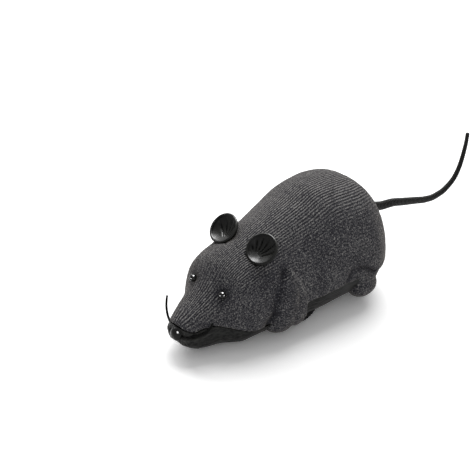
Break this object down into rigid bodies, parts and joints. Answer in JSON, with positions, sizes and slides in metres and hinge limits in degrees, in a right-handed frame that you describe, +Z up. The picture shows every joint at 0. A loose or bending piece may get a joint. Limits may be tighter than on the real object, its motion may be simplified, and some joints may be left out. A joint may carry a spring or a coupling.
{
  "type": "robotic mouse cat toy",
  "caption": "Battery-driven toy mouse: flocked shell over a plastic chassis with geared side wheels, a chin caster, dished ears and a ribbed rubber tail.",
  "frame": {"origin": "floor level, under the centre of the box round the whole toy, tail included", "axes": "+X towards the nose, +Y to the mouse's left, +Z up"},
  "size_m": [0.221, 0.0698, 0.06],
  "materials": {
    "flock": "short velvet flock on plastic",
    "black_plastic": "moulded, fine grain",
    "gloss_black": "polished",
    "soft_black": "soft vinyl",
    "tyre_rubber": "matte",
    "steel": "drawn",
    "brass": "turned",
    "white_nylon": "moulded",
    "grey_nylon": "moulded",
    "cell_jacket": "printed film, left plain",
    "board_green": "solder mask",
    "wire_red": "insulation"
  },
  "bodies": {
    "body": {"body_shell": "flock", "chassis": "black_plastic", "nose": "gloss_black", "tail": "soft_black", "front_left_case_screw": "steel", "front_right_case_screw": "steel", "rear_left_case_screw": "steel", "rear_right_case_screw": "steel", "front_battery_cell": "cell_jacket", "rear_battery_cell": "cell_jacket", "front_battery_spring": "steel", "rear_battery_spring": "steel", "contact_link": "steel", "negative_contact": "steel", "positive_contact": "steel", "circuit_board": "board_green", "radio_chip": "black_plastic", "crystal": "steel", "capacitor": "cell_jacket", "aerial_wire": "soft_black", "switch_housing": "grey_nylon", "left_eye": "gloss_black", "right_eye": "gloss_black", "left_ear": "soft_black", "right_ear": "soft_black", "left_whisker": "soft_black", "right_whisker": "soft_black", "left_motor_can": "steel", "right_motor_can": "steel", "left_motor_cap": "white_nylon", "right_motor_cap": "white_nylon", "left_motor_lead": "wire_red", "right_motor_lead": "wire_red", "left_gearbox_plate": "grey_nylon", "right_gearbox_plate": "grey_nylon", "left_gearbox_cover": "grey_nylon", "right_gearbox_cover": "grey_nylon", "left_compound_pin": "steel", "right_compound_pin": "steel"},
    "battery_door": {"battery_door": "black_plastic", "door_screw": "steel"},
    "switch_slider": {"switch_slider": "black_plastic"},
    "caster_fork": {"caster_fork": "black_plastic", "caster_pin": "steel", "caster_cap": "white_nylon"},
    "caster_wheel": {"caster_wheel": "black_plastic"},
    "left_wheel": {"left_tyre": "tyre_rubber", "left_wheel_hub": "black_plastic", "left_wheel_axle": "steel", "left_drive_gear": "white_nylon"},
    "right_wheel": {"right_tyre": "tyre_rubber", "right_wheel_hub": "black_plastic", "right_wheel_axle": "steel", "right_drive_gear": "white_nylon"},
    "left_compound": {"left_compound_gear": "white_nylon"},
    "right_compound": {"right_compound_gear": "white_nylon"},
    "left_rotor": {"left_motor_shaft": "steel", "left_motor_pinion": "brass"},
    "right_rotor": {"right_motor_shaft": "steel", "right_motor_pinion": "brass"}
  },
  "joints": [
    {"name": "left_wheel_spin", "type": "hinge", "parent": "body", "child": "left_wheel", "pos_m": [0.0425, 0.0189, 0.0115], "axis": [0, 1, 0], "continuous": true},
    {"name": "left_compound_spin", "type": "hinge", "parent": "body", "child": "left_compound", "pos_m": [0.04612, 0.0135, 0.01778], "axis": [0, 1, 0], "continuous": true},
    {"name": "left_motor_spin", "type": "hinge", "parent": "body", "child": "left_rotor", "pos_m": [0.05351, 0.0127, 0.01908], "axis": [0, 1, 0], "continuous": true},
    {"name": "right_wheel_spin", "type": "hinge", "parent": "body", "child": "right_wheel", "pos_m": [0.0425, -0.0189, 0.0115], "axis": [0, 1, 0], "continuous": true},
    {"name": "right_compound_spin", "type": "hinge", "parent": "body", "child": "right_compound", "pos_m": [0.03887, -0.0135, 0.01778], "axis": [0, 1, 0], "continuous": true},
    {"name": "right_motor_spin", "type": "hinge", "parent": "body", "child": "right_rotor", "pos_m": [0.03149, -0.0127, 0.01908], "axis": [0, 1, 0], "continuous": true},
    {"name": "caster_swivel", "type": "hinge", "parent": "body", "child": "caster_fork", "pos_m": [0.09775, 0, 0.0076], "axis": [0, 0, 1], "continuous": true},
    {"name": "caster_roll", "type": "hinge", "parent": "caster_fork", "child": "caster_wheel", "pos_m": [0.09625, 0, 0.003], "axis": [0, 1, 0], "continuous": true},
    {"name": "power_switch", "type": "slide", "parent": "body", "child": "switch_slider", "axis": [1, 0, 0], "range_m": [0, 0.003]},
    {"name": "battery_door_lift", "type": "slide", "parent": "body", "child": "battery_door", "axis": [0, 0, -1], "range_m": [0, 0.02]}
  ],
  "couplings": [
    {"joint": "left_compound_spin", "follows": "left_wheel_spin", "ratio": -2.2222},
    {"joint": "left_motor_spin", "follows": "left_wheel_spin", "ratio": 6.1111},
    {"joint": "right_compound_spin", "follows": "right_wheel_spin", "ratio": -2.2222},
    {"joint": "right_motor_spin", "follows": "right_wheel_spin", "ratio": 6.1111}
  ]
}
